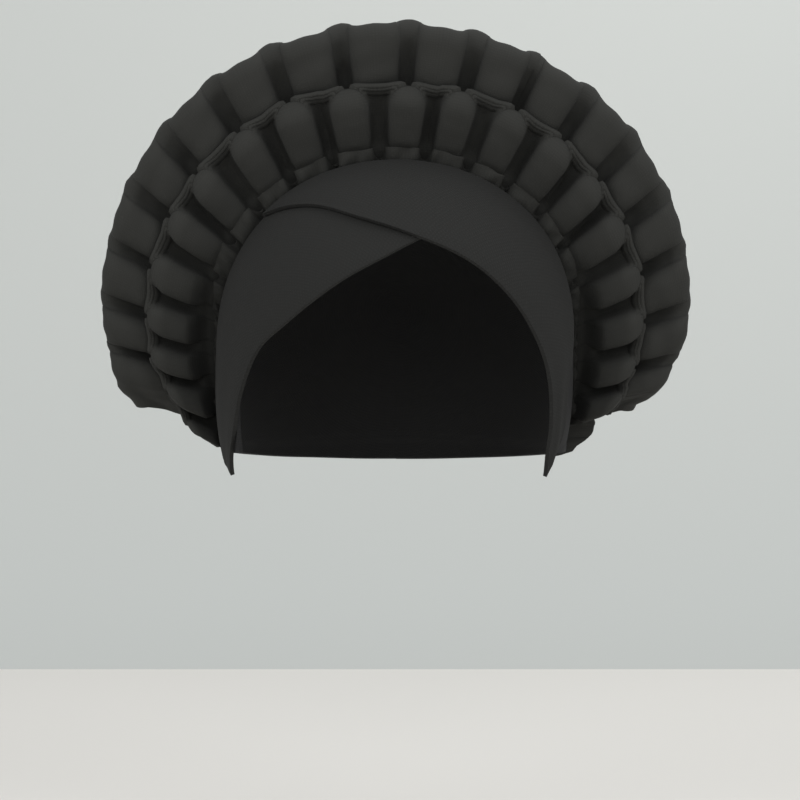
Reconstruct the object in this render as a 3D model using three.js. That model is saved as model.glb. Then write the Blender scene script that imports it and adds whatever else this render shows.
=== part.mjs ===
// Tied gele head tie, millimetres, +Z up. The origin is the inside top of the crown, -Y is the front and +X is
// the viewer's right. A fitted crown is open below and at the face, two bands cross on the forehead, and two tiers
// of box pleats stand behind them as a fan.
import * as THREE from "three";

const { degToRad, lerp, clamp, smoothstep } = THREE.MathUtils;

// The wearer's form inside the crown: a rounded oval, wider at the back, with a flattened top.
const FORM = { half_width: 81, front: 91, back: 98, top: 93, bottom: 100 };
const FORM_CENTRE = new THREE.Vector3(0, 0, -FORM.top);
const FORM_FLATNESS = 2.35;

// Cloth thickness, and how far each layer's inner face stands off the form.
const CLOTH = { crown: 2.0, band: 2.0, ruffle: 2.4, heading: 1.6 };
const STAND_OFF = { crown: 0, under_band: 2.4, over_band: 4.8, ruffle_foot: 3.0 };

// The fan stands in a plane through the form's centre that leans forward. Places on it are an angle from straight
// up towards +X, a radius, and a distance in front of the plane.
const FAN_LEAN = degToRad(19);
const FAN_SIDE = new THREE.Vector3(1, 0, 0);
const FAN_UP = new THREE.Vector3(0, -Math.sin(FAN_LEAN), Math.cos(FAN_LEAN));
const FAN_FRONT = new THREE.Vector3(0, -Math.cos(FAN_LEAN), -Math.sin(FAN_LEAN));

// The pleats: how many, their pitch in degrees at the foot and the rim, the turn of the middle one, and the droop in
// degrees of the foot of the last one at each end.
const PLEATS = { count: 19, foot_pitch: 11.1, rim_pitch: 10.5, turn: 0.8, droop: 6 };

// How far the folds stand from that even pitch at the rim, in degrees. Half of it is left at the foot.
const PLEAT_SHIFT = [
  { pleat: -9.5, shift: 0 },
  { pleat: -7, shift: -3.1 },
  { pleat: -4.5, shift: -2.0 },
  { pleat: -2, shift: -0.4 },
  { pleat: 0.5, shift: 1.9 },
  { pleat: 2.5, shift: 1.6 },
  { pleat: 5, shift: 1.8 },
  { pleat: 8, shift: 2.9 },
  { pleat: 9.5, shift: 0 },
];

// Rim radius of both tiers, by angle from the top of the fan. The right end of the fan is cut shorter.
const FAN_RIM = [
  { angle: 0, inner: 138, outer_left: 166, outer_right: 165.5 },
  { angle: 22, inner: 138, outer_left: 164.5, outer_right: 164 },
  { angle: 34, inner: 136, outer_left: 162.5, outer_right: 162.5 },
  { angle: 45, inner: 132.5, outer_left: 159, outer_right: 159.5 },
  { angle: 55, inner: 129, outer_left: 154.5, outer_right: 155 },
  { angle: 65, inner: 125, outer_left: 149.5, outer_right: 150 },
  { angle: 76, inner: 120, outer_left: 145, outer_right: 145 },
  { angle: 86, inner: 115.5, outer_left: 138.5, outer_right: 138 },
  { angle: 94, inner: 109.5, outer_left: 134, outer_right: 129 },
  { angle: 99, inner: 105, outer_left: 129.5, outer_right: 120 },
];

// One pleat from its ridge to its valley: how far across, in pitches, and how high between -1 and 1.
const INNER_FOLD = [
  { across: 0, height: 1 },
  { across: 0.15, height: 0.9 },
  { across: 0.26, height: 0.35 },
  { across: 0.36, height: -0.75 },
  { across: 0.5, height: -1 },
];
const OUTER_FOLD = [
  { across: 0, height: 1 },
  { across: 0.2, height: 0.95 },
  { across: 0.33, height: 0.5 },
  { across: 0.41, height: -0.7 },
  { across: 0.5, height: -1 },
];

// Each tier's place in front of the fan plane and depth of fold, at the foot and the rim.
const INNER_TIER = { foot_front: 3.6, rim_front: 13.2, foot_depth: 1.8, rim_depth: 5, rim_dip: -0.6 };
const OUTER_TIER = { foot_front: -3.6, rim_front: 4, foot_depth: 1.8, rim_depth: 5.5, rim_dip: 0.4 };
const TIER_ROWS = [0, 0.26, 0.62, 1];

// At the sides the tiers' feet are set back, so that they leave a crease behind the bands.
const SIDE_FOOT = { from_angle: 50, to_angle: 80, set_back: 8, from_rise: 0.08, to_rise: 0.4 };

// The heading strip in front of the tiers' feet: its width and its distance in front of the inner tier, over the
// forehead and at the sides, and its ends in pleats.
const HEADING = { width: 12, side_width: 6, front: 4.2, side_front: 6, left_end: -9.6, right_end: 9.8, columns: 120 };

// The bands, a row for each rib from the upper edge to the lower edge, in fan angle towards the band's own tip and
// distance in front of the fan plane.
const OVER_BAND = [
  { up_angle: -38, up_front: 13, low_angle: -36, low_front: 17 },
  { up_angle: -26, up_front: 12.5, low_angle: -24, low_front: 35 },
  { up_angle: -13, up_front: 12.5, low_angle: -12, low_front: 52 },
  { up_angle: 0, up_front: 12.5, low_angle: 0, low_front: 60.5 },
  { up_angle: 15, up_front: 12.5, low_angle: 13, low_front: 64 },
  { up_angle: 33, up_front: 12.5, low_angle: 33, low_front: 64 },
  { up_angle: 50, up_front: 14, low_angle: 54, low_front: 62 },
  { up_angle: 67, up_front: 26, low_angle: 74, low_front: 60 },
  { up_angle: 84, up_front: 46, low_angle: 92, low_front: 62.5 },
  { up_angle: 99, up_front: 53.5, low_angle: 105, low_front: 65.5 },
  { up_angle: 107, up_front: 60, low_angle: 114, low_front: 65 },
];
const UNDER_BAND = [
  { up_angle: -40, up_front: 13, low_angle: -38, low_front: 17 },
  { up_angle: -26, up_front: 12.5, low_angle: -23, low_front: 37 },
  { up_angle: -13, up_front: 12.5, low_angle: -12, low_front: 56 },
  { up_angle: 0, up_front: 12.5, low_angle: -1, low_front: 65.5 },
  { up_angle: 12, up_front: 12.5, low_angle: 12, low_front: 70 },
  { up_angle: 28, up_front: 12.5, low_angle: 30, low_front: 71 },
  { up_angle: 46, up_front: 12.5, low_angle: 48, low_front: 68 },
  { up_angle: 64, up_front: 13.5, low_angle: 66, low_front: 61 },
  { up_angle: 82, up_front: 23, low_angle: 84, low_front: 57 },
  { up_angle: 100, up_front: 27.5, low_angle: 101, low_front: 53 },
  { up_angle: 113, up_front: 31, low_angle: 117, low_front: 41.5 },
];
const BAND_GRID = { columns: 30, rows: 6 };

// The crown's lower edge: how far in front of the fan plane it reaches under the bands, and the height of its hem.
const CROWN_FRONT = [
  { angle: 0, front: 20 },
  { angle: 45, front: 20 },
  { angle: 65, front: 36 },
  { angle: 85, front: 50 },
  { angle: 130, front: 54 },
];
const CROWN_HEM = { side: -131, nape: -138 };
const CROWN_GRID = { columns: 60, rows: 11 };

// Value of one column of a table at a place along its first column.
function lookUp(table, key, place, column) {
  let row = 1;
  while (row < table.length - 1 && table[row][key] < place) {
    row++;
  }
  const before = table[row - 1];
  const after = table[row];
  const share = clamp((place - before[key]) / (after[key] - before[key]), 0, 1);
  return lerp(before[column], after[column], share);
}

function fanPoint(angle, radius, front) {
  const turn = degToRad(angle);
  return FORM_CENTRE.clone()
    .addScaledVector(FAN_SIDE, radius * Math.sin(turn))
    .addScaledVector(FAN_UP, radius * Math.cos(turn))
    .addScaledVector(FAN_FRONT, front);
}

// Below 1 inside the form grown by a stand-off, above 1 outside it.
function formValue(point, standOff) {
  const d = point.clone().sub(FORM_CENTRE);
  const across = d.x / (FORM.half_width + standOff);
  const along = d.y / ((d.y < 0 ? FORM.front : FORM.back) + standOff);
  const upright = Math.abs(d.z) / ((d.z > 0 ? FORM.top : FORM.bottom) + standOff);
  return Math.hypot(across, along) ** FORM_FLATNESS + upright ** FORM_FLATNESS;
}

// Where a measure that grows with reach passes 1.
function reachOf(measure, furthest) {
  let near = 0;
  let far = furthest;
  for (let step = 0; step < 40; step++) {
    const middle = (near + far) / 2;
    if (measure(middle) < 1) {
      near = middle;
    } else {
      far = middle;
    }
  }
  return near;
}

// The radius at which the form, grown by a stand-off, is met in the fan's own angle and distance in front.
function formRadius(angle, front, standOff) {
  return reachOf((radius) => formValue(fanPoint(angle, radius, front), standOff), 200);
}

// A closed solid from a sheet of two layers, the outer one first. A wrapped sheet joins its last column to its first,
// and a row that runs into one point is closed there.
function sheetSolid(columns, rows, wrapped, place) {
  const points = [];
  const faces = [];
  for (let layer = 0; layer < 2; layer++) {
    for (let column = 0; column <= columns; column++) {
      for (let row = 0; row <= rows; row++) {
        points.push(place(column, row, layer));
      }
    }
  }
  const at = (layer, column, row) => {
    const turned = wrapped ? column % columns : column;
    return (layer * (columns + 1) + turned) * (rows + 1) + row;
  };
  const triangle = (a, b, c) => {
    const flat = points[a].distanceTo(points[b]) < 1e-3;
    if (!flat && points[b].distanceTo(points[c]) > 1e-3 && points[c].distanceTo(points[a]) > 1e-3) {
      faces.push(a, b, c);
    }
  };
  const quad = (a, b, c, d) => {
    triangle(a, b, c);
    triangle(a, c, d);
  };
  for (let column = 0; column < columns; column++) {
    const next = column + 1;
    for (let row = 0; row < rows; row++) {
      quad(at(0, column, row), at(0, column, row + 1), at(0, next, row + 1), at(0, next, row));
      quad(at(1, column, row), at(1, next, row), at(1, next, row + 1), at(1, column, row + 1));
    }
    quad(at(0, column, rows), at(1, column, rows), at(1, next, rows), at(0, next, rows));
    if (points[at(0, column, 0)].distanceTo(points[at(0, next, 0)]) > 1e-3) {
      quad(at(0, column, 0), at(0, next, 0), at(1, next, 0), at(1, column, 0));
    }
  }
  for (let row = 0; row < rows && !wrapped; row++) {
    quad(at(0, 0, row), at(1, 0, row), at(1, 0, row + 1), at(0, 0, row + 1));
    quad(at(0, columns, row), at(0, columns, row + 1), at(1, columns, row + 1), at(1, columns, row));
  }
  const geometry = new THREE.BufferGeometry().setFromPoints(points);
  geometry.setIndex(faces);
  return geometry;
}

// Two layers half a thickness to either side of a grid of points, the first of them in front.
function thickened(columns, rows, thickness, middle) {
  const grid = [];
  for (let column = 0; column <= columns; column++) {
    grid.push([]);
    for (let row = 0; row <= rows; row++) {
      grid[column].push(middle(column, row));
    }
  }
  return (column, row, layer) => {
    const left = grid[Math.max(column - 1, 0)][row];
    const right = grid[Math.min(column + 1, columns)][row];
    const foot = grid[column][Math.max(row - 1, 0)];
    const rim = grid[column][Math.min(row + 1, rows)];
    const along = right.clone().sub(left);
    const normal = rim.clone().sub(foot).cross(along).normalize();
    return grid[column][row].clone().addScaledVector(normal, (layer === 0 ? 0.5 : -0.5) * thickness);
  };
}

// Height of a pleat between -1 and 1: a soft wave at the foot that sharpens to the folded box at the rim.
function foldHeight(fold, across, rise) {
  const from_ridge = Math.abs(across - Math.round(across));
  const soft = Math.cos(2 * Math.PI * from_ridge);
  return lerp(soft, lookUp(fold, "across", from_ridge, "height"), rise);
}

// Fan angle of a pleat, which narrows a little from foot to rim. The last ones droop at the foot.
function pleatAngle(pleat, rise) {
  const droop = Math.sign(pleat) * PLEATS.droop * (1 - rise) * Math.abs((2 * pleat) / PLEATS.count) ** 8;
  const shift = lookUp(PLEAT_SHIFT, "pleat", pleat, "shift") * lerp(0.5, 1, rise);
  return PLEATS.turn + pleat * lerp(PLEATS.foot_pitch, PLEATS.rim_pitch, rise) + droop + shift;
}

// Share of the side's way of standing at an angle, from 0 over the forehead to 1 at the ears.
function onSide(angle) {
  return smoothstep(Math.abs(angle), SIDE_FOOT.from_angle, SIDE_FOOT.to_angle);
}

function setBack(angle, rise) {
  return SIDE_FOOT.set_back * onSide(angle) * (1 - smoothstep(rise, SIDE_FOOT.from_rise, SIDE_FOOT.to_rise));
}

// A place on a tier: its pleat number, and how far it has risen from foot to rim.
function tierPoint(tier, fold, ridgeShift, rimOf, pleat, rise) {
  const angle = pleatAngle(pleat, rise);
  const height = foldHeight(fold, pleat - ridgeShift, rise);
  const depth = lerp(tier.foot_depth, tier.rim_depth, rise);
  const front = lerp(tier.foot_front, tier.rim_front, rise) + depth * height - setBack(angle, rise);
  const foot = formRadius(angle, front, STAND_OFF.ruffle_foot);
  const rim = rimOf(angle) - tier.rim_dip * height;
  return fanPoint(angle, lerp(foot, rim, rise), front);
}

// The columns of a tier: every fold's own corners, pleat after pleat.
function tierPleats(fold, ridgeShift) {
  const end = PLEATS.count / 2;
  const pleats = [];
  for (let ridge = -end - 1; ridge <= end + 1; ridge += 0.5) {
    if (Math.abs(ridge - ridgeShift - Math.round(ridge - ridgeShift)) < 0.01) {
      for (const { across } of fold) {
        pleats.push(ridge + across, ridge - across);
      }
    }
  }
  const inside = pleats.filter((pleat) => Math.abs(pleat) <= end + 0.001);
  inside.sort((a, b) => a - b);
  return inside.filter((pleat, index) => index === 0 || pleat - inside[index - 1] > 0.01);
}

function tierGeometry(tier, fold, ridgeShift, rimOf) {
  const pleats = tierPleats(fold, ridgeShift);
  const columns = pleats.length - 1;
  const rows = TIER_ROWS.length - 1;
  const middle = (column, row) => tierPoint(tier, fold, ridgeShift, rimOf, pleats[column], TIER_ROWS[row]);
  return sheetSolid(columns, rows, false, thickened(columns, rows, CLOTH.ruffle, middle));
}

function innerRim(angle) {
  return lookUp(FAN_RIM, "angle", Math.abs(angle), "inner");
}

function outerRim(angle) {
  return lookUp(FAN_RIM, "angle", Math.abs(angle), angle < 0 ? "outer_left" : "outer_right");
}

function ruffleHeading() {
  const middle = (column, row) => {
    const pleat = lerp(HEADING.left_end, HEADING.right_end, column / HEADING.columns);
    const footAngle = pleatAngle(pleat, 0);
    const ahead = lerp(HEADING.front, HEADING.side_front, onSide(footAngle));
    const footFront = INNER_TIER.foot_front + ahead - setBack(footAngle, 0);
    const foot = formRadius(footAngle, footFront, STAND_OFF.ruffle_foot);
    const width = lerp(HEADING.width, HEADING.side_width, onSide(footAngle));
    const rise = (row * width) / (innerRim(footAngle) - foot);
    const wave = lerp(INNER_TIER.foot_depth, INNER_TIER.rim_depth, rise) * Math.cos(2 * Math.PI * pleat);
    const front = lerp(INNER_TIER.foot_front, INNER_TIER.rim_front, rise) + ahead + wave;
    return fanPoint(pleatAngle(pleat, rise), foot + row * width, front - setBack(footAngle, rise));
  };
  return sheetSolid(HEADING.columns, 1, false, thickened(HEADING.columns, 1, CLOTH.heading, middle));
}

// The way out of the form at a place on it.
function formNormal(point) {
  const step = 0.05;
  const slope = (axis) => {
    const ahead = point.clone();
    const behind = point.clone();
    ahead[axis] += step;
    behind[axis] -= step;
    return formValue(ahead, 0) - formValue(behind, 0);
  };
  return new THREE.Vector3(slope("x"), slope("y"), slope("z")).normalize();
}

function band(table, side, standOff) {
  const { columns, rows } = BAND_GRID;
  const curveOf = (edge) =>
    new THREE.CatmullRomCurve3(
      table.map((rib) => new THREE.Vector3(rib[edge + "_angle"], rib[edge + "_front"], 0)),
      false,
      "centripetal",
    );
  const upper = curveOf("up");
  const lower = curveOf("low");
  return sheetSolid(columns, rows, false, (column, row, layer) => {
    const share = (side > 0 ? column : columns - column) / columns;
    const place = upper.getPoint(share).lerp(lower.getPoint(share), row / rows);
    const radius = formRadius(side * place.x, place.y, standOff + CLOTH.band);
    const outer = fanPoint(side * place.x, radius, place.y);
    return outer.addScaledVector(formNormal(outer), layer === 0 ? 0 : -CLOTH.band);
  });
}

// A place on the form by fan angle and by slope from the back of the form towards the face.
function formPoint(angle, slope, standOff) {
  const turn = degToRad(angle);
  const direction = new THREE.Vector3()
    .addScaledVector(FAN_SIDE, Math.sin(slope) * Math.sin(turn))
    .addScaledVector(FAN_UP, Math.sin(slope) * Math.cos(turn))
    .addScaledVector(FAN_FRONT, -Math.cos(slope));
  const along = (reach) => direction.clone().multiplyScalar(reach).add(FORM_CENTRE);
  return along(reachOf((reach) => formValue(along(reach), standOff), 200));
}

// Slope at which the crown ends: under the bands, or at its hem beside and behind them.
function crownEdge(angle) {
  const reach = lookUp(CROWN_FRONT, "angle", Math.abs(angle), "front");
  return reachOf((slope) => {
    const point = formPoint(angle, slope, 0);
    const front = point.clone().sub(FORM_CENTRE).dot(FAN_FRONT);
    const hem = lerp(CROWN_HEM.side, CROWN_HEM.nape, clamp(point.y / FORM.back, 0, 1));
    return front > reach || point.z < hem ? 2 : 0;
  }, 2.6);
}

function crown() {
  const { columns, rows } = CROWN_GRID;
  return sheetSolid(columns, rows, true, (column, row, layer) => {
    const angle = (360 * column) / columns - 180;
    const standOff = STAND_OFF.crown + (layer === 0 ? CLOTH.crown : 0);
    return formPoint(angle, (crownEdge(angle) * row) / rows, standOff);
  });
}

const material = new THREE.MeshStandardMaterial({ color: 0x1e1e1d, roughness: 0.9 });
const group = new THREE.Group();
group.name = "gele_head_tie";
const pieces = [
  ["crown", crown()],
  ["under_band", band(UNDER_BAND, -1, STAND_OFF.under_band)],
  ["over_band", band(OVER_BAND, 1, STAND_OFF.over_band)],
  ["inner_ruffle", tierGeometry(INNER_TIER, INNER_FOLD, 0, innerRim)],
  ["outer_ruffle", tierGeometry(OUTER_TIER, OUTER_FOLD, 0.5, outerRim)],
  ["ruffle_heading", ruffleHeading()],
];
for (const [name, geometry] of pieces) {
  const mesh = new THREE.Mesh(geometry, material);
  mesh.name = name;
  group.add(mesh);
}

export default group;
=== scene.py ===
"""A ready-tied gele head tie in black cloth: a fitted crown, two bands crossed on the forehead and two tiers
of box pleats standing as a fan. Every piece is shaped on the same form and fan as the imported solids.
"""

import math

import bmesh
import bpy
import numpy as np
from bpy.props import FloatProperty, FloatVectorProperty, IntProperty, PointerProperty
from bpy.types import Operator, Panel, PropertyGroup
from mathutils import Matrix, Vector


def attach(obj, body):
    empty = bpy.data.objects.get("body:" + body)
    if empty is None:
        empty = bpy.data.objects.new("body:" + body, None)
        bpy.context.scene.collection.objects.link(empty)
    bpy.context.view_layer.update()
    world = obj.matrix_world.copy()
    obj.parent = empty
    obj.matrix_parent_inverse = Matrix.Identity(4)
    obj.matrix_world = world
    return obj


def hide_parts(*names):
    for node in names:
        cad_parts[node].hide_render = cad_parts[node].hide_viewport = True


bl_info = {
    "name": "Tied gele head tie",
    "version": (1, 0, 0),
    "blender": (4, 5, 0),
    "location": "View3D > Sidebar > Head tie",
    "description": "Dresses the head tie's solids with its cloth, bands and pleats",
    "category": "Add Mesh",
}

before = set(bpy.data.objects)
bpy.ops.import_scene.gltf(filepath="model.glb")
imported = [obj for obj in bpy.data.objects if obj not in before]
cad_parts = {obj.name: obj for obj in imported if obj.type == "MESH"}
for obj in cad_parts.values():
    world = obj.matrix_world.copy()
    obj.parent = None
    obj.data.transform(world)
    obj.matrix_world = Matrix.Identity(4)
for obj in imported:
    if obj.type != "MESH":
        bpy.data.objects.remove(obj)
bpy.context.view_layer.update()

MM = 0.001
SEED = 7

# The fan's sides begin at the first angle from its top and are fully reached at the second, in degrees.
SIDE_BEGINS = 50
SIDE_REACHED = 80
# At the sides the folds' feet stand this far back, in millimetres, and lose this share of their depth, which
# leaves a dark gap beside the bands.
SIDE_SET_BACK = 10
SIDE_FLATTENING = 0.85
# Between the form and the ruffles' feet, in millimetres, which is the crown and a little air.
FOOT_GAP = 3.2
# Wall of the crown and the bands, in millimetres.
BAND_WALL = 1.9
# The front tier's doubled hem, in shares of its height: where it begins, and the height of each of two beads.
HEM_BEGINS = 0.932
HEM_BEAD = 0.034
# The back tier's ends, in pleats from the middle: where the last face begins to fall away, and over how much.
END_FLAP_BEGINS = 8.75
END_FLAP_LENGTH = 0.75
# Radius of the back tier's rolled rim in millimetres, and how far round it rolls.
RIM_ROLL = 6.0
RIM_TURN = math.radians(115)
# All three knits are matte, with next to no shine and a faint nap.
KNIT_ROUGHNESS = 0.9
KNIT_SPECULAR = 0.12
KNIT_SHEEN = 0.015
NAP_ROUGHNESS = 0.45

# Rim radius of both tiers in millimetres, by degrees from the top of the fan. The last row is past the ends.
FAN_RIM = [
    {"angle": 0, "inner": 138, "outer_left": 166, "outer_right": 165.5},
    {"angle": 22, "inner": 138, "outer_left": 164.5, "outer_right": 164},
    {"angle": 34, "inner": 136, "outer_left": 162.5, "outer_right": 162.5},
    {"angle": 45, "inner": 132.5, "outer_left": 159, "outer_right": 159.5},
    {"angle": 55, "inner": 129, "outer_left": 154.5, "outer_right": 155},
    {"angle": 65, "inner": 125, "outer_left": 149.5, "outer_right": 150},
    {"angle": 76, "inner": 120, "outer_left": 145, "outer_right": 145},
    {"angle": 86, "inner": 115.5, "outer_left": 138.5, "outer_right": 138},
    {"angle": 94, "inner": 109.5, "outer_left": 134, "outer_right": 129},
    {"angle": 99, "inner": 105, "outer_left": 129.5, "outer_right": 120},
    {"angle": 118, "inner": 95, "outer_left": 120, "outer_right": 110},
]

# The bands, a row for each rib from the upper edge to the lower one: degrees round the fan towards the band's
# own tip, and millimetres in front of the fan's plane.
OVER_BAND = [
    {"up_angle": -38, "up_front": 13, "low_angle": -36, "low_front": 17},
    {"up_angle": -26, "up_front": 12.5, "low_angle": -24, "low_front": 35},
    {"up_angle": -13, "up_front": 12.5, "low_angle": -12, "low_front": 52},
    {"up_angle": 0, "up_front": 12.5, "low_angle": 0, "low_front": 60.5},
    {"up_angle": 15, "up_front": 12.5, "low_angle": 13, "low_front": 64},
    {"up_angle": 33, "up_front": 12.5, "low_angle": 33, "low_front": 64},
    {"up_angle": 50, "up_front": 14, "low_angle": 54, "low_front": 62},
    {"up_angle": 67, "up_front": 26, "low_angle": 74, "low_front": 60},
    {"up_angle": 84, "up_front": 46, "low_angle": 92, "low_front": 62.5},
    {"up_angle": 99, "up_front": 53.5, "low_angle": 105, "low_front": 65.5},
    {"up_angle": 107, "up_front": 60, "low_angle": 114, "low_front": 65},
]
UNDER_BAND = [
    {"up_angle": -40, "up_front": 13, "low_angle": -38, "low_front": 17},
    {"up_angle": -26, "up_front": 12.5, "low_angle": -23, "low_front": 37},
    {"up_angle": -13, "up_front": 12.5, "low_angle": -12, "low_front": 56},
    {"up_angle": 0, "up_front": 12.5, "low_angle": -1, "low_front": 65.5},
    {"up_angle": 12, "up_front": 12.5, "low_angle": 12, "low_front": 70},
    {"up_angle": 28, "up_front": 12.5, "low_angle": 30, "low_front": 71},
    {"up_angle": 46, "up_front": 12.5, "low_angle": 48, "low_front": 68},
    {"up_angle": 64, "up_front": 13.5, "low_angle": 66, "low_front": 61},
    {"up_angle": 82, "up_front": 23, "low_angle": 84, "low_front": 57},
    {"up_angle": 100, "up_front": 27.5, "low_angle": 101, "low_front": 53},
    {"up_angle": 113, "up_front": 31, "low_angle": 117, "low_front": 41.5},
]

# How far the folds stand from an even pitch, in degrees.
PLEAT_SHIFT = [
    {"pleat": -9.5, "shift": 0},
    {"pleat": -7, "shift": -3.1},
    {"pleat": -4.5, "shift": -2.0},
    {"pleat": -2, "shift": -0.4},
    {"pleat": 0.5, "shift": 1.9},
    {"pleat": 2.5, "shift": 1.6},
    {"pleat": 5, "shift": 1.8},
    {"pleat": 8, "shift": 2.9},
    {"pleat": 9.5, "shift": 0},
]

# How far in front of the fan's plane the crown reaches under the bands.
CROWN_FRONT = [
    {"angle": 0, "front": 20},
    {"angle": 45, "front": 20},
    {"angle": 65, "front": 36},
    {"angle": 85, "front": 50},
    {"angle": 130, "front": 54},
]


def linear_from_hex(text):
    """Linear red, green and blue of an sRGB hex colour."""
    shares = [int(text[i : i + 2], 16) / 255 for i in (1, 3, 5)]
    return tuple(c / 12.92 if c <= 0.04045 else ((c + 0.055) / 1.055) ** 2.4 for c in shares)


class HeadTieForm(PropertyGroup):
    half_width: FloatProperty(
        name="Half width", description="Half the head's width", default=0.081, unit="LENGTH"
    )
    front: FloatProperty(name="Front", description="Reach to the forehead", default=0.091, unit="LENGTH")
    back: FloatProperty(name="Back", description="Reach to the back", default=0.098, unit="LENGTH")
    top: FloatProperty(name="Top", description="Rise to the crown's inside top", default=0.093, unit="LENGTH")
    bottom: FloatProperty(name="Bottom", description="Reach below the middle", default=0.100, unit="LENGTH")
    flatness: FloatProperty(name="Flatness", description="How square the top is, 2 for round", default=2.35)
    hem_side: FloatProperty(name="Side hem", description="Height of the hem", default=-0.131, unit="LENGTH")
    hem_nape: FloatProperty(name="Nape hem", description="Height at the nape", default=-0.138, unit="LENGTH")


class HeadTieFan(PropertyGroup):
    lean: FloatProperty(name="Lean", description="Forward lean", default=math.radians(19), subtype="ANGLE")
    pleats: IntProperty(name="Pleats", description="Folds in each tier", default=19, min=3)
    foot_pitch: FloatProperty(
        name="Foot pitch", description="Pleat pitch at the foot", default=math.radians(11.1), subtype="ANGLE"
    )
    rim_pitch: FloatProperty(
        name="Rim pitch", description="Pleat pitch at the rim", default=math.radians(10.5), subtype="ANGLE"
    )
    turn: FloatProperty(
        name="Turn", description="Turn of the middle pleat", default=math.radians(0.8), subtype="ANGLE"
    )
    droop: FloatProperty(
        name="Droop", description="Droop of the ends", default=math.radians(6), subtype="ANGLE"
    )
    cloth: FloatProperty(
        name="Cloth", description="Thickness of the ruffle cloth", default=0.002, unit="LENGTH"
    )


class HeadTieFinish(PropertyGroup):
    ruffle: FloatVectorProperty(
        name="Ruffle", description="Scuba knit", default=linear_from_hex("#2d2d2b"), size=3, subtype="COLOR"
    )
    band: FloatVectorProperty(
        name="Bands", description="Twill knit", default=linear_from_hex("#222221"), size=3, subtype="COLOR"
    )
    crown: FloatVectorProperty(
        name="Crown", description="Jersey", default=linear_from_hex("#222222"), size=3, subtype="COLOR"
    )
    floor: FloatVectorProperty(
        name="Floor", description="Table top", default=linear_from_hex("#cdcac6"), size=3, subtype="COLOR"
    )
    wall: FloatVectorProperty(
        name="Wall", description="Backdrop", default=linear_from_hex("#babcb9"), size=3, subtype="COLOR"
    )


class Form:
    """The head's shape inside the crown, and the leaning fan round it."""

    def __init__(self, scene):
        sizes = scene.head_tie_form
        fan = scene.head_tie_fan
        self.sizes = sizes
        self.reach = np.array([sizes.half_width, sizes.front, sizes.back, sizes.top, sizes.bottom])
        self.flatness = sizes.flatness
        self.centre = np.array([0, 0, -sizes.top])
        self.side = np.array([1.0, 0, 0])
        self.up = np.array([0, -math.sin(fan.lean), math.cos(fan.lean)])
        self.ahead = np.array([0, -math.cos(fan.lean), -math.sin(fan.lean)])
        self.pitches = (fan.foot_pitch, fan.rim_pitch, fan.turn, fan.droop, fan.pleats)

    def value(self, points, stand_off):
        """Below 1 inside the form grown by a stand-off, above 1 outside it."""
        d = points - self.centre
        half_width, front, back, top, bottom = self.reach
        across = d[..., 0] / (half_width + stand_off)
        along = d[..., 1] / (np.where(d[..., 1] < 0, front, back) + stand_off)
        upright = np.abs(d[..., 2]) / (np.where(d[..., 2] > 0, top, bottom) + stand_off)
        return np.hypot(across, along) ** self.flatness + upright**self.flatness

    def point(self, angle, radius, ahead):
        """A place by fan angle, radius and distance in front of the fan's plane."""
        across = np.multiply.outer(radius * np.sin(angle), self.side)
        rise = np.multiply.outer(radius * np.cos(angle), self.up)
        return self.centre + across + rise + np.multiply.outer(ahead, self.ahead)

    def radius(self, angle, ahead, stand_off):
        """The radius at which the form, grown by a stand-off, is met."""
        return passing(lambda r: self.value(self.point(angle, r, ahead), stand_off), 0.2, angle + ahead)

    def slope_point(self, angle, slope, stand_off):
        """A place on the form by fan angle and slope from its back towards the face."""
        way = (
            np.multiply.outer(np.sin(slope) * np.sin(angle), self.side)
            + np.multiply.outer(np.sin(slope) * np.cos(angle), self.up)
            - np.multiply.outer(np.cos(slope), self.ahead)
        )
        reach = passing(lambda r: self.value(self.centre + way * r[..., None], stand_off), 0.2, slope)
        return self.centre + way * reach[..., None]

    def pleat_angle(self, pleat, rise):
        """Fan angle of a pleat, narrowing a little towards the rim, the last ones drooping at the foot."""
        foot_pitch, rim_pitch, turn, droop, pleats = self.pitches
        sag = np.sign(pleat) * droop * (1 - rise) * np.abs(2 * pleat / pleats) ** 8
        shift = np.radians(look_up(PLEAT_SHIFT, "pleat", pleat, "shift")) * mix(0.5, 1, rise)
        return turn + pleat * mix(foot_pitch, rim_pitch, rise) + sag + shift


def passing(measure, furthest, like):
    """Where a measure that grows with reach passes 1, for arrays shaped like another."""
    near = np.zeros_like(like, dtype=float)
    far = np.full_like(near, furthest)
    for _ in range(36):
        middle = (near + far) / 2
        inside = measure(middle) < 1
        near = np.where(inside, middle, near)
        far = np.where(inside, far, middle)
    return near


def mix(start, end, share):
    """From start at 0 to end at 1."""
    return start + (end - start) * share


def step(low, high, value):
    """Smooth rise from 0 at low to 1 at high."""
    share = np.clip((value - low) / (high - low), 0, 1)
    return share * share * (3 - 2 * share)


def side_share(angle):
    """0 over the top of the fan, 1 at its sides."""
    return step(SIDE_BEGINS, SIDE_REACHED, np.degrees(np.abs(angle)))


def look_up(table, key, place, column):
    """A column of a table by straight lines between its rows."""
    return np.interp(place, [row[key] for row in table], [row[column] for row in table])


def along_table(table, share, column):
    """A smooth curve through one column of a table, by share of its rows."""
    values = np.array([row[column] for row in table], dtype=float)
    values = np.concatenate([[2 * values[0] - values[1]], values, [2 * values[-1] - values[-2]]])
    place = np.clip(share, 0, 1) * (len(table) - 1)
    row = np.minimum(place.astype(int), len(table) - 2)
    t = place - row
    a, b, c, d = (values[row + i] for i in range(4))
    return b + 0.5 * t * (c - a + t * (2 * a - 5 * b + 4 * c - d + t * (3 * (b - c) + d - a)))


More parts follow.
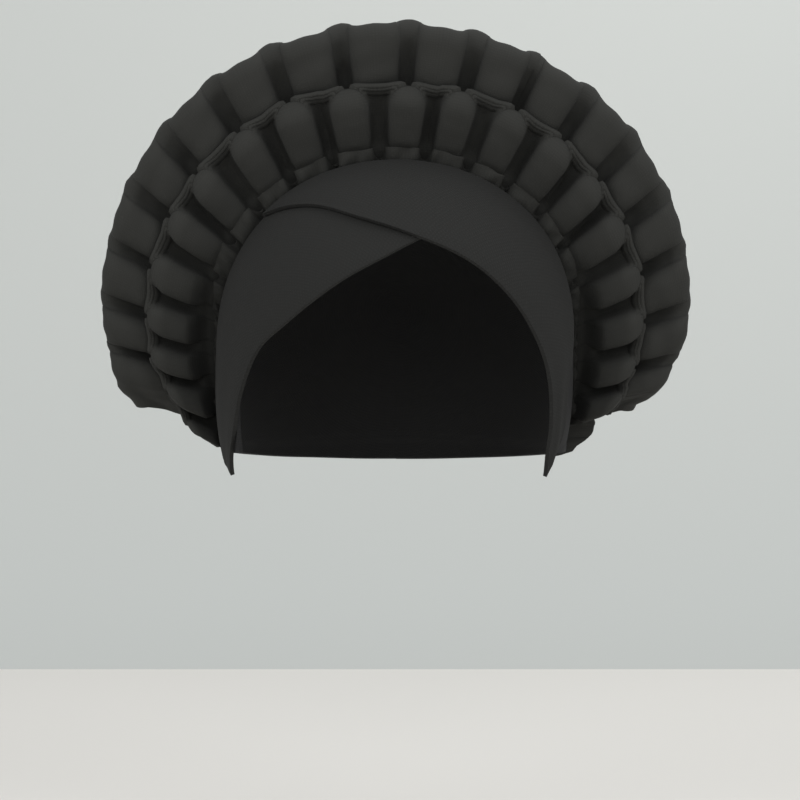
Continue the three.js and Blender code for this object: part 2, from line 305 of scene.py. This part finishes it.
def drift(seed, place, amount):
    """A slow seeded wander along the pleats, so that no fold repeats another."""
    made = np.random.default_rng(SEED + seed).uniform(-amount, amount, 64)
    return np.interp(place, np.linspace(-16, 16, 64), made)


def ripple(seed, u, v, wave):
    """Small soft dents over a cloth, between about -1 and 1, from a few seeded waves."""
    rng = np.random.default_rng(SEED + seed)
    total = np.zeros_like(u)
    for _ in range(6):
        turn = rng.uniform(0, 2 * math.pi)
        phase = rng.uniform(0, 2 * math.pi)
        size = rng.uniform(0.7, 1.6)
        total += np.sin((u * math.cos(turn) + v * math.sin(turn)) * 2 * math.pi / (wave * size) + phase)
    return total / 3


def cloth_piece(name, columns, rows, place, thickness, offset, material, nodes, merge=False):
    """A sheet of cloth from a grid: place gives points, and their places on the flat cloth, by column and row.

    The wall stands outside, inside or astride the grid by its offset, and merge closes a seam and a pole.
    """
    bm = bmesh.new()
    bmesh.ops.create_grid(bm, x_segments=columns, y_segments=rows, size=0.5)
    flat = np.array([vert.co[:] for vert in bm.verts])
    column = np.rint((flat[:, 0] + 0.5) * columns).astype(int)
    row = np.rint((flat[:, 1] + 0.5) * rows).astype(int)
    points, on_cloth = place(column, row)
    for vert, point in zip(bm.verts, points):
        vert.co = point
    layer = bm.loops.layers.uv.new("cloth")
    bm.verts.index_update()
    for face in bm.faces:
        face.smooth = True
        for loop in face.loops:
            loop[layer].uv = on_cloth[loop.vert.index]
    if merge:
        bmesh.ops.remove_doubles(bm, verts=bm.verts, dist=1e-5)
    mesh = bpy.data.meshes.new(name)
    bm.to_mesh(mesh)
    bm.free()
    piece = bpy.data.objects.new(name, mesh)
    bpy.context.scene.collection.objects.link(piece)
    mesh.materials.append(material)
    wall = piece.modifiers.new("wall", "SOLIDIFY")
    wall.thickness = thickness
    wall.offset = offset
    wall.use_quality_normals = True
    edge = piece.modifiers.new("soft_edge", "BEVEL")
    edge.width = 0.32 * thickness
    edge.segments = 3
    edge.limit_method = "ANGLE"
    edge.angle_limit = math.radians(50)
    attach(piece, "root")
    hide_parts(*nodes)
    return piece


def add_node(tree, kind, inputs=None, **settings):
    """A shader node with its settings, its values and its links."""
    node = tree.nodes.new(kind)
    for name, value in settings.items():
        setattr(node, name, value)
    for socket, value in (inputs or {}).items():
        if isinstance(value, bpy.types.NodeSocket):
            tree.links.new(value, node.inputs[socket])
        else:
            node.inputs[socket].default_value = value
    return node


def knit_material(name, colour, rib_mm, rib_turn, rib_depth):
    """A matte black knit: ribs broken into stitches at a turn across the cloth, with painted shade in the
    hollows of the stitch relief and painted highlight on its raised tops, and slightly uneven dye.
    """
    made = bpy.data.materials.new(name)
    made.use_nodes = True
    tree = made.node_tree
    shader = tree.nodes["Principled BSDF"]
    shader.inputs["Roughness"].default_value = KNIT_ROUGHNESS
    shader.inputs["Specular IOR Level"].default_value = KNIT_SPECULAR
    shader.inputs["Sheen Weight"].default_value = KNIT_SHEEN
    shader.inputs["Sheen Roughness"].default_value = NAP_ROUGHNESS
    place = add_node(tree, "ShaderNodeUVMap", uv_map="cloth")
    turned = add_node(
        tree, "ShaderNodeMapping", {"Vector": place.outputs["UV"], "Rotation": (0, 0, rib_turn)}
    )
    # A wave texture repeats every pi / 10 at a scale of 1. The courses across the ribs are a little wider.
    scale = math.pi / 10 / (rib_mm * MM)
    yarn = {"Vector": turned.outputs["Vector"], "Distortion": 1.2, "Detail": 1.0, "Detail Scale": 2.0}
    ribs = add_node(
        tree,
        "ShaderNodeTexWave",
        {**yarn, "Scale": scale},
        wave_type="BANDS",
        bands_direction="X",
    )
    courses = add_node(
        tree,
        "ShaderNodeTexWave",
        {**yarn, "Scale": scale / 1.2},
        wave_type="BANDS",
        bands_direction="Y",
    )
    stitches = add_node(
        tree, "ShaderNodeMath", {0: ribs.outputs["Fac"], 1: courses.outputs["Fac"]}, operation="MULTIPLY"
    )
    threads = add_node(
        tree, "ShaderNodeTexNoise", {"Vector": place.outputs["UV"], "Scale": 1 / (0.7 * MM), "Detail": 2.0}
    )
    relief = add_node(
        tree,
        "ShaderNodeMix",
        {"Factor": 0.3, "A": stitches.outputs["Value"], "B": threads.outputs["Fac"]},
        data_type="FLOAT",
    )
    bump = add_node(
        tree,
        "ShaderNodeBump",
        {"Height": relief.outputs["Result"], "Strength": 0.6, "Distance": rib_depth * MM},
    )
    tree.links.new(bump.outputs["Normal"], shader.inputs["Normal"])
    dye = add_node(
        tree, "ShaderNodeTexNoise", {"Vector": place.outputs["UV"], "Scale": 1 / (24 * MM), "Detail": 3.0}
    )
    # Painted shade and highlight: the colour darkens where the stitch relief is low and lightens where it is
    # high, following the bump.
    dark = tuple(0.8 * c for c in colour)
    light = tuple(1.35 * c for c in colour)
    painted_stitch_shading = add_node(
        tree,
        "ShaderNodeMix",
        {"Factor": relief.outputs["Result"], "A": (*dark, 1), "B": (*light, 1)},
        data_type="RGBA",
    )
    tone = add_node(
        tree,
        "ShaderNodeMix",
        {"Factor": dye.outputs["Fac"], "A": painted_stitch_shading.outputs["Result"], "B": (*colour, 1)},
        data_type="RGBA",
    )
    tree.links.new(tone.outputs["Result"], shader.inputs["Base Color"])
    return made


def fold_columns(first, last, start, end, steps):
    """Ridge, side and share from ridge to valley of every column of a tier."""
    columns = []
    for ridge in np.arange(first, last + 0.5):
        if ridge - 0.5 > start - 0.01:
            left = [(ridge, -1, share) for share in np.linspace(1, 0, steps + 1)[:-1]]
            columns += left[1:] if columns else left
        columns.append((ridge, 1, 0.0))
        if ridge + 0.5 < end + 0.01:
            columns += [(ridge, 1, share) for share in np.linspace(0, 1, steps + 1)[1:]]
    return np.array(columns)


def fold_curve(share, half_face, square):
    """How far across, in pitches, and how high, 1 to -1, a box fold is at a share from ridge to valley."""
    on_face = 0.62
    face = np.clip(share / on_face, 0, 1) * math.pi / 2
    floor = np.clip((share - on_face) / (1 - on_face), 0, 1) * math.pi / 2
    across = half_face * np.sin(face) ** square + (0.5 - half_face) * (1 - np.cos(floor))
    height = np.cos(face) ** square - np.sin(floor)
    return across, height


def inner_ruffle_place(form, columns, rises):
    """Points of the front tier: tongue-shaped folds with domed tops, deep pockets and a doubled hem."""

    def place(column, row):
        ridge, side, share = columns[column].T
        rise = rises[row]
        dome = np.sqrt(1 - np.clip((rise - 0.76) / 0.24, 0, 1) ** 2)
        half_face = (0.312 + drift(1, ridge, 0.035)) * mix(0.12, 1, dome) * mix(0.8, 1, step(0.1, 0.45, rise))
        across, height = fold_curve(share, half_face, 0.85)
        pleat = ridge + side * across
        angle = form.pleat_angle(pleat, rise) + np.radians(drift(5, ridge, 0.6))
        between = np.clip(-height, 0, 1)
        height = -1 + (1 + height) * dome
        depth = np.interp(rise, [0, 0.24, 0.35, 0.6, 1], [1.4, 1.7, 4.5, 5.3, 4.7]) + drift(2, ridge, 0.4)
        pocket = np.interp(rise, [0, 0.24, 0.35, 0.6, 0.86, 0.9, 1], [2.2, 2.2, 1.45, 1.4, 1.5, 0.85, 0.75])
        on_side = side_share(angle)
        depth = depth * (1 - SIDE_FLATTENING * on_side * (1 - step(0.28, 0.48, rise)))
        ahead = mix(3.6, 13.2, rise) - SIDE_SET_BACK * on_side * (1 - step(0.2, 0.5, rise))
        ahead += depth * np.where(height < 0, height * pocket, height)
        hem = np.abs(np.sin(math.pi * np.clip((rise - HEM_BEGINS) / HEM_BEAD, 0, 2))) ** 0.8
        ahead += mix(0.8, 0.45, on_side) * hem * step(0, 0.5, between)
        ahead += 0.35 * ripple(3, pleat * 20 * MM, rise * 34 * MM, 16 * MM) * step(0.1, 0.4, rise)
        foot = form.radius(angle, ahead * MM, FOOT_GAP * MM)
        rim = look_up(FAN_RIM, "angle", np.degrees(np.abs(angle)), "inner") + drift(4, ridge, 0.7)
        rim += mix(-0.6, mix(1.8, 1.0, on_side), step(0, 0.5, between)) - 1.2 * between**3
        points = form.point(angle, mix(foot, rim * MM, rise), ahead * MM)
        on_cloth = np.stack([(ridge + side * (0.5 * share)) * 36 * MM, rise * 38 * MM], axis=-1)
        return points, on_cloth

    return place


def outer_ruffle_place(form, columns, rises, turns):
    """Points of the back tier: wide pillowed faces, round valleys and a rim rolled to the back."""

    def place(column, row):
        ridge, side, share = columns[column].T
        rise = rises[row]
        turn = turns[row]
        half_face = 0.325 + drift(11, ridge, 0.03)
        across, height = fold_curve(share, half_face, 0.8)
        pleat = ridge + side * across
        angle = form.pleat_angle(pleat, rise) + np.radians(drift(15, ridge, 0.4))
        past_last = np.clip((np.abs(pleat) - END_FLAP_BEGINS) / END_FLAP_LENGTH, 0, 1)
        height = np.where(past_last > 0, 0.74 - 2.4 * past_last, height)
        height = np.where(height < 0, height * np.interp(rise, [0, 0.8, 1], [1, 1, 0.6]), height)
        depth = np.interp(rise, [0, 0.5, 0.6, 0.76, 1], [1.4, 1.7, 3.6, 5.0, 4.6]) + drift(12, pleat, 0.4)
        on_side = side_share(angle)
        ahead = mix(-3.6, 4, rise) - SIDE_SET_BACK * on_side * (1 - step(0.06, 0.3, rise)) + depth * height
        ahead += 1.2 * np.sin(math.pi * np.clip((rise - 0.55) / 0.45, 0, 1)) * np.clip(height, 0, 1)
        ahead += 0.4 * ripple(13, pleat * 26 * MM, rise * 66 * MM, 20 * MM) * step(0.1, 0.4, rise)
        foot = form.radius(angle, ahead * MM, FOOT_GAP * MM)
        degrees = np.degrees(angle)
        left = look_up(FAN_RIM, "angle", -degrees, "outer_left")
        right = look_up(FAN_RIM, "angle", degrees, "outer_right")
        rim = np.where(degrees < 0, left, right) + drift(14, ridge, 0.5)
        rim += 0.5 * np.cos(2 * math.pi * pleat) + 0.45 * np.cos(4 * math.pi * pleat) - 1.8
        flat = mix(foot / MM, rim - RIM_ROLL, rise)
        radius = flat + RIM_ROLL * np.sin(turn)
        ahead = ahead - RIM_ROLL * (1 - np.cos(turn))
        points = form.point(angle, radius * MM, ahead * MM)
        on_cloth = np.stack(
            [(ridge + side * (0.5 * share)) * 44 * MM, (rise * 64 + turn * RIM_ROLL) * MM], axis=-1
        )
        return points, on_cloth

    return place


def heading_place(form, columns, rises):
    """Points of the gathered strip at the tiers' feet: it follows their folds and puffs between its edges.

    It narrows at the sides and ends in a short tail past the last pleats.
    """

    def place(column, row):
        ridge, side, share = columns[column].T
        rise = rises[row]
        across, height = fold_curve(share, 0.34 + drift(1, ridge, 0.025), 0.85)
        pleat = ridge + side * across
        on_tier = 0.3 * rise
        angle = form.pleat_angle(pleat, on_tier)
        on_side = side_share(angle)
        pucker = ripple(21, pleat * 18 * MM, rise * 3 * MM, 4 * MM)
        depth = mix(1.4, 1.8, rise)
        ahead = mix(5.4, 7.8, rise) - SIDE_SET_BACK * on_side
        height = height * (1 - SIDE_FLATTENING * on_side)
        ahead += depth * np.where(height < 0, 2.2 * height, height)
        ahead += (0.6 + 1.0 * pucker + 0.5 * height) * np.sin(math.pi * rise) ** 0.8
        foot = form.radius(angle, ahead * MM, FOOT_GAP * MM)
        tail = step(8.9, 9.3, np.abs(pleat))
        width = mix(11.0, mix(3.0, 15.0, tail), on_side) - 6 * (1 - on_side) * np.clip(-height, 0, 1)
        width = width * mix(1, 0.5, step(9.5, 10, np.abs(pleat))) + drift(22, pleat * 2, 0.6)
        points = form.point(angle, foot + width * rise * MM, ahead * MM)
        on_cloth = np.stack([(ridge + side * (0.5 * share)) * 24 * MM, rise * 14 * MM], axis=-1)
        return points, on_cloth

    return place


def band_place(form, table, side, stand_off, columns, rows, seed):
    """Points of a band's outer face: taut over the form, with long pulls that fade at the lower edge."""

    def place(column, row):
        share = column / columns if side > 0 else 1 - column / columns
        down = row / rows
        up_angle = along_table(table, share, "up_angle")
        low_angle = along_table(table, share, "low_angle")
        up_front = along_table(table, share, "up_front")
        low_front = along_table(table, share, "low_front")
        angle = np.radians(side * mix(up_angle, low_angle, down))
        ahead = mix(up_front, low_front, down)
        width = np.maximum(low_front - up_front, 4) * 1.25
        from_edge = (1 - down) * width
        pulls = 0.35 * ripple(seed, share * 60 * MM, down * 50 * MM, 34 * MM) * step(0, 8, from_edge)
        grown = stand_off + pulls
        radius = form.radius(angle, ahead * MM, grown * MM)
        points = form.point(angle, radius, ahead * MM)
        on_cloth = np.stack([angle * 90 * MM, ahead * 1.1 * MM], axis=-1)
        return points, on_cloth

    return place


def crown_place(form, columns, rows):
    """Points of the crown's outer face, from the back of the head to its edge under the bands or its hem."""
    sizes = form.sizes
    angles = np.linspace(-math.pi, math.pi, columns + 1)
    reach = look_up(CROWN_FRONT, "angle", np.degrees(np.abs(angles)), "front") * MM

    def past(slope):
        points = form.slope_point(angles, slope, 0)
        ahead = (points - form.centre) @ form.ahead
        hem = mix(sizes.hem_side, sizes.hem_nape, np.clip(points[:, 1] / sizes.back, 0, 1))
        return np.where((ahead > reach) | (points[:, 2] < hem), 2.0, 0.0)

    edges = passing(past, 2.6, angles)

    def place(column, row):
        angle = angles[column]
        share = row / rows
        slope = edges[column] * share
        to_hem = (edges[column] - slope) * 95
        hem = 0.5 * (1 - step(11, 12.5, to_hem)) - 0.35 * (1 - step(0.6, 1.4, np.abs(to_hem - 10)))
        soft = 0.35 * ripple(31, angle * 80 * MM, slope * 90 * MM, 60 * MM) * np.sin(slope)
        points = form.slope_point(angle, slope, (2 + hem + soft) * MM)
        on_cloth = np.stack([angle * 80 * MM, slope * 95 * MM], axis=-1)
        return points, on_cloth

    return place


class HEADTIE_OT_crown(Operator):
    """The fitted crown, open below and at the face"""

    bl_idname = "head_tie.crown"
    bl_label = "Crown"

    def execute(self, context):
        form = Form(context.scene)
        columns = 220
        rows = 64
        # Jersey, a smooth single knit: fine upright ribs and a flat, deep black. The ribs are drawn at
        # 1.2 mm, about twice the real ones, so that they show.
        jersey = knit_material("black jersey", context.scene.head_tie_finish.crown, 1.2, 0.0, 0.25)
        place = crown_place(form, columns, rows)
        crown = cloth_piece(
            "crown_cloth",
            columns,
            rows,
            place,
            BAND_WALL * MM,
            -1,
            jersey,
            ["crown"],
            merge=True,
        )
        return {"FINISHED"}


class HEADTIE_OT_bands(Operator):
    """The two bands that cross on the forehead"""

    bl_idname = "head_tie.bands"
    bl_label = "Bands"

    def execute(self, context):
        form = Form(context.scene)
        # Twill knit, stretched taut: slanting rows of tiny stitches that catch the light as dots. They are
        # drawn at 1.3 mm, about twice the real ones, so that they show.
        twill = knit_material(
            "black twill knit", context.scene.head_tie_finish.band, 1.3, math.radians(52), 0.22
        )
        columns = 200
        rows = 60
        for name, table, side, stand_off, seed, area in (
            ("under_band", UNDER_BAND, -1, 4.4, 41, 0.0114),
            ("over_band", OVER_BAND, 1, 6.8, 42, 0.0094),
        ):
            place = band_place(form, table, side, stand_off, columns, rows, seed)
            band = cloth_piece(
                name + "_cloth", columns, rows, place, BAND_WALL * MM, -1, twill, [name]
            )
        return {"FINISHED"}


class HEADTIE_OT_ruffles(Operator):
    """The two tiers of box pleats"""

    bl_idname = "head_tie.ruffles"
    bl_label = "Ruffles"

    def execute(self, context):
        form = Form(context.scene)
        fan = context.scene.head_tie_fan
        # Scuba knit, two smooth faces with a springy middle: round folds that stay up, and a soft, almost
        # plain warm black. Its fine ribs are drawn at 0.9 mm, coarser than the real ones, so that they show.
        scuba = knit_material("black scuba knit", context.scene.head_tie_finish.ruffle, 0.9, 0.0, 0.12)
        end = fan.pleats / 2
        steps = 14
        columns = fold_columns(-(fan.pleats // 2) - 1, fan.pleats // 2, -end, end, steps)
        body_rises = np.linspace(0, 0.8, 26)
        dome_rises = np.linspace(0.8, 0.92, 9)[1:]
        hem_rises = np.linspace(0.92, 1, 19)[1:]
        rises = np.concatenate([body_rises, dome_rises, hem_rises])
        inner = cloth_piece(
            "inner_ruffle_cloth",
            len(columns) - 1,
            len(rises) - 1,
            inner_ruffle_place(form, columns, rises),
            0.75 * fan.cloth,
            0,
            scuba,
            ["inner_ruffle"],
        )
        columns = fold_columns(-end, end, -end, end, steps)
        rises = np.concatenate([np.linspace(0, 1, 34), np.ones(9)])
        turns = np.concatenate([np.zeros(34), np.linspace(0, RIM_TURN, 10)[1:]])
        outer = cloth_piece(
            "outer_ruffle_cloth",
            len(columns) - 1,
            len(rises) - 1,
            outer_ruffle_place(form, columns, rises, turns),
            fan.cloth,
            0,
            scuba,
            ["outer_ruffle"],
        )
        return {"FINISHED"}


class HEADTIE_OT_heading(Operator):
    """The gathered strip at the foot of the ruffles"""

    bl_idname = "head_tie.heading"
    bl_label = "Heading"

    def execute(self, context):
        form = Form(context.scene)
        scuba = bpy.data.materials["black scuba knit"]
        last = context.scene.head_tie_fan.pleats // 2
        columns = fold_columns(-last, last, -last - 0.5, last + 0.5, 12)
        tail = np.linspace(1, 0, 9)[1:]
        left_tail = [(-last - 1, 1, share) for share in tail[::-1]]
        right_tail = [(last + 1, -1, share) for share in tail]
        columns = np.concatenate([left_tail, columns, right_tail])
        rises = np.linspace(0, 1, 13)
        heading = cloth_piece(
            "heading_strip",
            len(columns) - 1,
            len(rises) - 1,
            heading_place(form, columns, rises),
            1.4 * MM,
            0,
            scuba,
            ["ruffle_heading"],
        )
        return {"FINISHED"}


class HEADTIE_OT_stage(Operator):
    """A pale table and wall, soft studio light and the camera"""

    bl_idname = "head_tie.stage"
    bl_label = "Stage"

    def execute(self, context):
        scene = context.scene
        finish = scene.head_tie_finish
        scene.view_settings.view_transform = "Standard"
        for name, colour, size, place, turn in (
            ("table_top", finish.floor, (4.0, 2.2), (0, -0.46, -0.33), 0),
            ("back_wall", finish.wall, (6.0, 4.0), (0, 1.25, 0.6), math.radians(90)),
        ):
            bm = bmesh.new()
            bmesh.ops.create_grid(bm, x_segments=1, y_segments=1, size=0.5)
            mesh = bpy.data.meshes.new(name)
            bm.to_mesh(mesh)
            bm.free()
            sheet = bpy.data.objects.new(name, mesh)
            sheet.scale = (*size, 1)
            sheet.rotation_euler = (turn, 0, 0)
            sheet.location = place
            scene.collection.objects.link(sheet)
            # Matt paint: an even, pale tone with no shine of its own.
            paint = bpy.data.materials.new(name + " paint")
            paint.use_nodes = True
            shader = paint.node_tree.nodes["Principled BSDF"]
            shader.inputs["Base Color"].default_value = (*colour, 1)
            shader.inputs["Roughness"].default_value = 0.7
            mesh.materials.append(paint)
        world = bpy.data.worlds.new("studio")
        world.use_nodes = True
        world.node_tree.nodes["Background"].inputs["Color"].default_value = (*linear_from_hex("#eef1f2"), 1)
        world.node_tree.nodes["Background"].inputs["Strength"].default_value = 0.85
        scene.world = world
        for name, place, aim, size, power in (
            ("left_key", (-1.15, -0.95, 0.75), (0, 0, -0.05), 1.0, 10),
            ("right_key", (1.15, -0.95, 0.75), (0, 0, -0.05), 1.0, 10),
            ("front_fill", (0.0, -1.7, 0.5), (0, 0, -0.05), 1.0, 5),
            ("top", (0.0, -0.1, 1.3), (0, 0, -0.05), 1.0, 2.5),
            ("wall_wash", (0.7, 0.3, 1.4), (0.4, 1.25, 0.3), 1.0, 9),
        ):
            lamp = bpy.data.lights.new(name, "AREA")
            lamp.size = size
            lamp.energy = power
            light = bpy.data.objects.new(name, lamp)
            light.location = place
            light.rotation_euler = (Vector(aim) - Vector(place)).to_track_quat("-Z", "Y").to_euler()
            scene.collection.objects.link(light)
        camera = bpy.data.objects.new("camera", bpy.data.cameras.new("camera"))
        camera.data.sensor_width = 36
        camera.data.lens = 83.7
        camera.location = (0.0021, -0.894, -0.108)
        camera.rotation_euler = (math.radians(90), 0, 0)
        scene.collection.objects.link(camera)
        scene.camera = camera
        return {"FINISHED"}


class HEADTIE_PT_panel(Panel):
    bl_label = "Head tie"
    bl_idname = "HEADTIE_PT_panel"
    bl_space_type = "VIEW_3D"
    bl_region_type = "UI"
    bl_category = "Head tie"

    def draw(self, context):
        for group in ("head_tie_form", "head_tie_fan", "head_tie_finish"):
            sizes = getattr(context.scene, group)
            box = self.layout.box()
            for name in sizes.__annotations__:
                box.prop(sizes, name)
        for piece in PIECES:
            self.layout.operator(piece.bl_idname)


GROUPS = {"head_tie_form": HeadTieForm, "head_tie_fan": HeadTieFan, "head_tie_finish": HeadTieFinish}
PIECES = (HEADTIE_OT_stage, HEADTIE_OT_crown, HEADTIE_OT_bands, HEADTIE_OT_ruffles, HEADTIE_OT_heading)
CLASSES = (*GROUPS.values(), *PIECES, HEADTIE_PT_panel)


def register():
    for made in CLASSES:
        bpy.utils.register_class(made)
    for name, group in GROUPS.items():
        setattr(bpy.types.Scene, name, PointerProperty(type=group))


def unregister():
    for name in GROUPS:
        delattr(bpy.types.Scene, name)
    for made in reversed(CLASSES):
        bpy.utils.unregister_class(made)


def main():
    register()
    bpy.ops.head_tie.stage()
    bpy.ops.head_tie.crown()
    bpy.ops.head_tie.bands()
    bpy.ops.head_tie.ruffles()
    bpy.ops.head_tie.heading()


if __name__ == "__main__":
    main()
